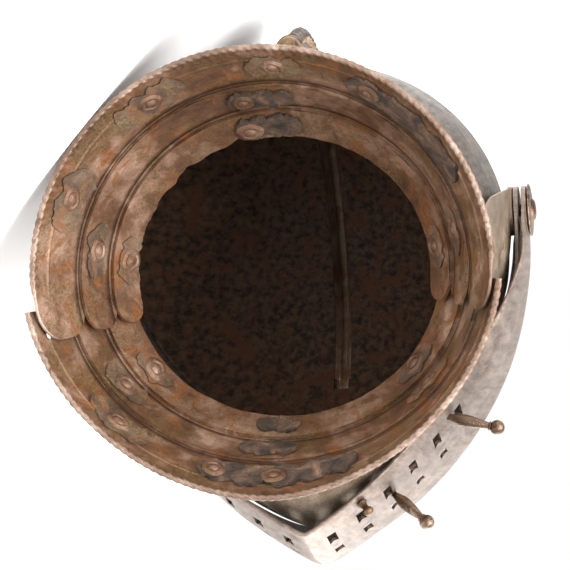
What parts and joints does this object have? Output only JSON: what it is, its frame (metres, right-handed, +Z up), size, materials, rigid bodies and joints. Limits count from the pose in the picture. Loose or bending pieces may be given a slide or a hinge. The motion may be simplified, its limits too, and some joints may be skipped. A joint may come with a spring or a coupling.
{
  "type": "close helmet",
  "caption": "Steel close helmet with a hollow comb, a visor, a pierced ventail and a bevor that swing up on shared side pivots, and riveted neck lames with a roped rim.",
  "frame": {"origin": "middle of the bounding box, at its lowest point: the surface that the helmet lies on", "axes": "+Z up from that surface, +Y along the neck axis from the neck opening to the crown, +X to the right as one looks into the neck opening"},
  "size_m": [0.237, 0.3092, 0.2521],
  "materials": {
    "steel": "old, patchy brown patina",
    "rusted_steel": "dull brown rust",
    "brass": "dull",
    "leather": "dry and worn"
  },
  "bodies": {
    "skull": {"skull": "steel", "plume_holder": "brass", "rear_lame_1": "rusted_steel", "rear_lame_2": "rusted_steel", "rear_lame_3": "rusted_steel", "rivet_rear_neck_left": "rusted_steel", "rivet_rear_neck_middle": "rusted_steel", "rivet_rear_neck_right": "rusted_steel", "rivet_rear_middle_left": "rusted_steel", "rivet_rear_middle_back": "rusted_steel", "rivet_rear_middle_right": "rusted_steel", "rivet_rear_rim_left": "rusted_steel", "rivet_rear_rim_back_left": "rusted_steel", "rivet_rear_rim_back": "rusted_steel", "rivet_rear_rim_right": "rusted_steel", "leather_rear_rim": "leather", "leather_rear_middle": "leather", "leather_rear_neck": "leather", "pivot_right": "steel", "pivot_left": "steel"},
    "bevor": {"front_lame_1": "rusted_steel", "front_lame_2": "rusted_steel", "front_lame_3": "rusted_steel", "rivet_front_neck_left": "rusted_steel", "rivet_front_neck_right": "rusted_steel", "rivet_front_middle_left": "rusted_steel", "rivet_front_middle_right": "rusted_steel", "rivet_front_rim_left": "rusted_steel", "rivet_front_rim_middle_left": "rusted_steel", "rivet_front_rim_middle": "rusted_steel", "leather_front_rim": "leather", "leather_front_middle": "leather", "leather_front_neck": "leather", "bevor": "steel"},
    "ventail": {"ventail": "steel", "lifting_peg_rear": "steel", "lifting_peg_front": "steel", "catch_stud": "brass"},
    "visor": {"visor": "steel"}
  },
  "joints": [
    {"name": "bevor_swing", "type": "hinge", "parent": "skull", "child": "bevor", "pos_m": [-0.02314, 0.00759, 0.09595], "axis": [-0.6884, 0.0056, 0.7253], "range_deg": [0, 45]},
    {"name": "ventail_swing", "type": "hinge", "parent": "bevor", "child": "ventail", "pos_m": [-0.02314, 0.00759, 0.09595], "axis": [-0.6884, 0.0056, 0.7253], "range_deg": [0, 25]},
    {"name": "visor_swing", "type": "hinge", "parent": "ventail", "child": "visor", "pos_m": [-0.02314, 0.00759, 0.09595], "axis": [-0.6884, 0.0056, 0.7253], "range_deg": [0, 35]}
  ]
}
